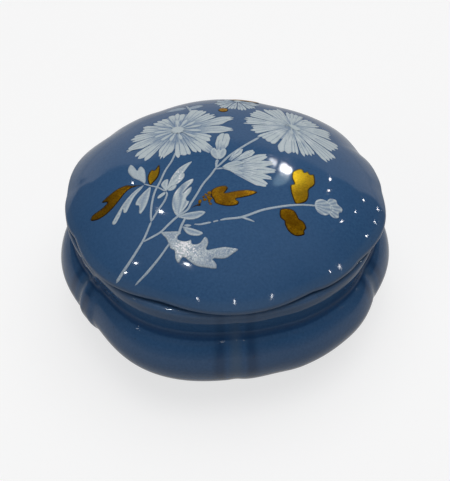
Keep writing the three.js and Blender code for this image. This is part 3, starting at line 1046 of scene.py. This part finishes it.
def make_world():
    """Dim low down, paler overhead and at the front, with a pale wall behind the box whose edges the dome
    mirrors."""
    world = bpy.data.worlds.new("studio")
    world.use_nodes = True
    tree = world.node_tree

    def node(kind, *inputs, **settings):
        made = new_node(tree, kind, **settings)
        for socket, value in zip(made.inputs, inputs):
            feed(tree, socket, value)
        return made.outputs

    way = node("SeparateXYZ", node("TexCoord")["Generated"])
    ahead = node("Math", way["Y"], 0.02, operation="MAXIMUM")[0]
    tall = node("Math", way["Z"], ahead, operation="DIVIDE")[0]
    aside = node("Math", way["X"], ahead, operation="DIVIDE")[0]
    to_left = node("Math", aside, -1.0, operation="MULTIPLY")[0]
    left_slope = node("Math", to_left, 0.90, tall, operation="MULTIPLY_ADD")[0]
    right_slope = node("Math", aside, 0.75, tall, operation="MULTIPLY_ADD")[0]
    wall = None
    edges = [(tall, 0.72), (to_left, 0.84), (aside, 1.02), (left_slope, 1.06), (right_slope, 1.19)]
    for measure, limit in edges:
        inside = node("MapRange", measure, limit + WALL_BLUR, limit - WALL_BLUR, 0.0, 1.0)[0]
        wall = inside if wall is None else node("Math", wall, inside, operation="MULTIPLY")[0]
    dim = node("MapRange", way["Z"], 0.50, 0.92, WORLD_DIM, WORLD_OVERHEAD)[0]
    to_front = node("MapRange", way["Y"], 0.10, -0.30, 0.0, WORLD_FRONT)[0]
    low_down = node("MapRange", way["Z"], 0.0, 0.55, 1.0, 0.0)[0]
    dim = node("Math", to_front, low_down, dim, operation="MULTIPLY_ADD")[0]
    brightness = node("MapRange", wall, 0.0, 1.0, dim, WORLD_WALL)[0]
    seen = plain_shader(tree, "Background", WORLD_SEEN, 1.0)
    other = node("Background", colour(0.98, 0.98, 1.0), brightness)[0]
    tree.links.new(by_ray(tree, seen, other), tree.nodes["World Output"].inputs["Surface"])
    bpy.context.scene.world = world


def light(name, place, target, size, brightness, diffuse=True, glossy=True, tint=(1, 1, 1)):
    """A round light of that brightness, seen by reflections, by diffuse surfaces, or by both."""
    data = bpy.data.lights.new(name, "AREA")
    data.shape = "DISK"
    data.size = size
    data.energy = brightness * math.pi * (math.pi * (size / 2) ** 2)
    data.color = tint
    lamp = place_object(name, data)
    lamp.location = place
    lamp.rotation_euler = (Vector(target) - Vector(place)).to_track_quat("-Z", "Y").to_euler()
    lamp.visible_camera = False
    lamp.visible_diffuse = diffuse
    lamp.visible_glossy = glossy


def mirrored_light(name, plan, degrees, brightness, distance=0.9, tint=(1, 1, 1)):
    """A small lamp placed so that the glaze at a plan place on the lid mirrors it to the camera."""
    x, y = np.array([plan[0]]), np.array([plan[1]])
    here = Vector(lid_surface(x, y)[0]) * MM
    normal = Vector(lid_normal(x, y)[0])
    way = (here - CAMERA_PLACE).normalized().reflect(normal)
    size = 2 * distance * math.tan(math.radians(degrees / 2))
    light(name, here + way * distance, here, size, brightness, diffuse=False, tint=tint)


def make_lights():
    middle = (0, 0, 0.03)
    full, half, front_edge = 60, 30, -50
    light("overhead", (0.1, 0.1, 1.1), middle, 1.3, 1.7, glossy=False)
    light("front_left", (-0.8, -0.9, 0.7), middle, 0.7, 1.15, glossy=False)
    mirrored_light("main_lamp", (20.4, -4.3), 1.7, full)
    mirrored_light("main_lamp_low", (21.9, -5.6), 1.7, full)
    mirrored_light("lamp_streak", (16.2, -0.8), 0.7, half)
    mirrored_light("lamp_streak_low", (17.3, -1.8), 0.8, half)
    mirrored_light("lamp_glow", (19.6, -10.2), 4.2, 2.1, tint=(0.62, 0.90, 1.0))
    mirrored_light("leaf_glitter", (-11.5, -40.0), 3.0, full)
    mirrored_light("bulb_glow", (-12, -44.5), 6.0, 0.8)
    bulbs = [
        (36, -7.7, 1.0), (35, -13.3, 0.9), (43.8, -19.2, 0.9), (38.5, -25, 1.0), (47.3, -12.4, 1.0),
        (52.4, -12.8, 0.7), (50.7, -19.2, 0.9), (47, -26.2, 1.0), (37, -39.8, 0.9), (34, -42.8, 0.8),
        (-20.9, -24.5, 1.7), (-30.9, -9.8, 0.8), (-28.5, -40.8, 1.7), (-32, -42.5, 1.5), (-12, -44, 2.2),
        (-8.8, -54.5, 1.0), (2.8, -55.8, 1.0), (14.5, -54.0, 1.0),
    ]
    for i, (x, y, degrees) in enumerate(bulbs):
        mirrored_light(f"bulb_{i + 1}", (x, y), degrees, half if y < front_edge else full)


# ---- putting it together ----
def build_box():
    glaze = blue_glaze()
    clay = bare_clay()
    enamel = white_enamel("white_enamel", 0.34, 1.0)
    frosted = white_enamel("frosted_enamel", 0.24, 3.0, index=2.0)
    gold = worn_gold()

    bowl = lathe("bowl_porcelain", bowl_profile(), BOWL_VALLEYS, glaze, seams=BOWL_SEAMS)
    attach(bowl, "bowl")
    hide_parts("bowl")
    lid = lathe("lid_porcelain", lid_profile(), LID_VALLEYS, glaze)
    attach(lid, "lid")
    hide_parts("lid")

    for name, ring, body in [
        ("foot_ring_clay", (FOOT_INNER + 0.7, FOOT_OUTER - 1.2, 0, 0.4), "bowl"),
        ("rim_seat_clay", (SEAT_BORE + 0.9, SEAT_BORE + 2.2, RIM_TOP - 0.2, RIM_TOP + 0.03), "bowl"),
        ("lid_seat_clay", (FLANGE_OUTER + 1.4, FLANGE_OUTER + 3.0, SEAT_HEIGHT - 0.03, SEAT_HEIGHT + 0.2),
         "lid"),
    ]:
        piece = lathe(name, flat_ring(*ring), BOWL_VALLEYS, clay, ring=True)
        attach(piece, body)

    left_flower(enamel)
    right_flower(enamel)
    back_flower(enamel)
    small_flowers(enamel)
    stems(enamel)
    white_leaves(enamel)
    frosted_leaf(frosted)
    gold_leaves(gold)


make_camera()
make_floor()
make_world()
make_lights()
build_box()
bpy.context.scene.view_settings.view_transform = "Standard"
